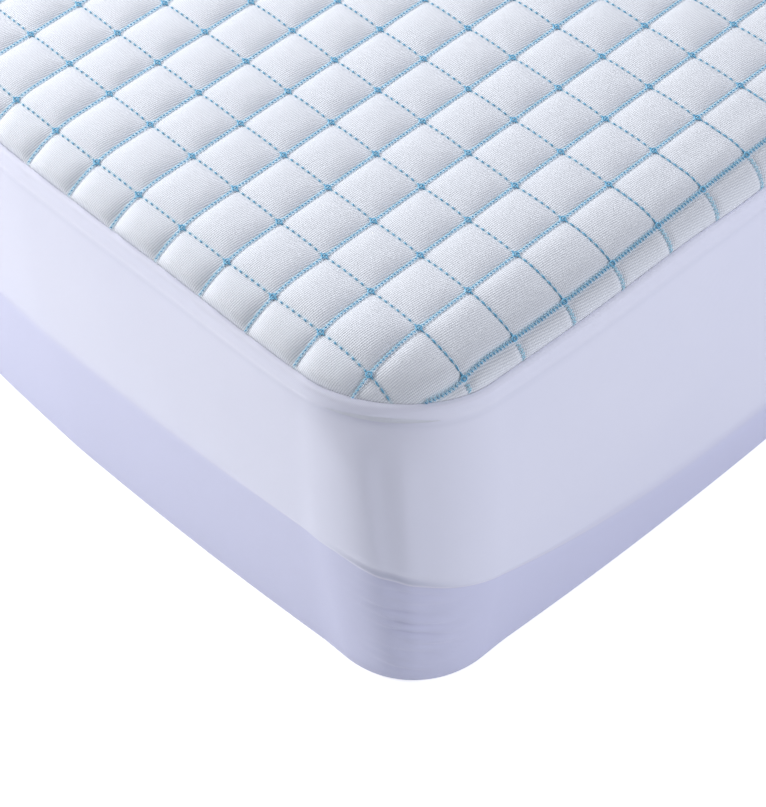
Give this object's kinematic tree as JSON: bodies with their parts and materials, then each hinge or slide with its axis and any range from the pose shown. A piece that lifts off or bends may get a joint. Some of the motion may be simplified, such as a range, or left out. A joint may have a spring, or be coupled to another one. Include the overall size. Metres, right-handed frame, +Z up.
{
  "type": "cooling mattress protector",
  "caption": "Fitted mattress protector: quilted knit top with a square stitched grid, deep jersey skirt and a gathered elastic hem that turns under the mattress.",
  "frame": {"origin": "centre of the surface the protector stands on, under the middle of its hem", "axes": "+Z up towards the quilted top, +Y along the length towards the head end, +X across the width"},
  "size_m": [0.937, 1.9462, 0.405],
  "materials": {
    "cooling_knit": "fine ribbed knit, quilted, soft satin sheen",
    "wadding": "lofty polyester fibre",
    "scrim": "light bonded scrim",
    "membrane_film": "smooth soft film",
    "seam_tape": "matt woven tape",
    "skirt_jersey": "smooth matt jersey",
    "elastic": "ribbed woven elastic",
    "quilting_thread": "soft twisted thread",
    "seam_thread": "fine sewing thread"
  },
  "bodies": {
    "root": {"quilted_face_knit": "cooling_knit", "fibre_fill": "wadding", "quilt_backing": "scrim", "waterproof_membrane": "membrane_film", "seam_binding": "seam_tape", "skirt_knit": "skirt_jersey", "skirt_closing_seam": "seam_tape", "hem_band": "skirt_jersey", "hem_elastic": "elastic"}
  },
  "joints": []
}
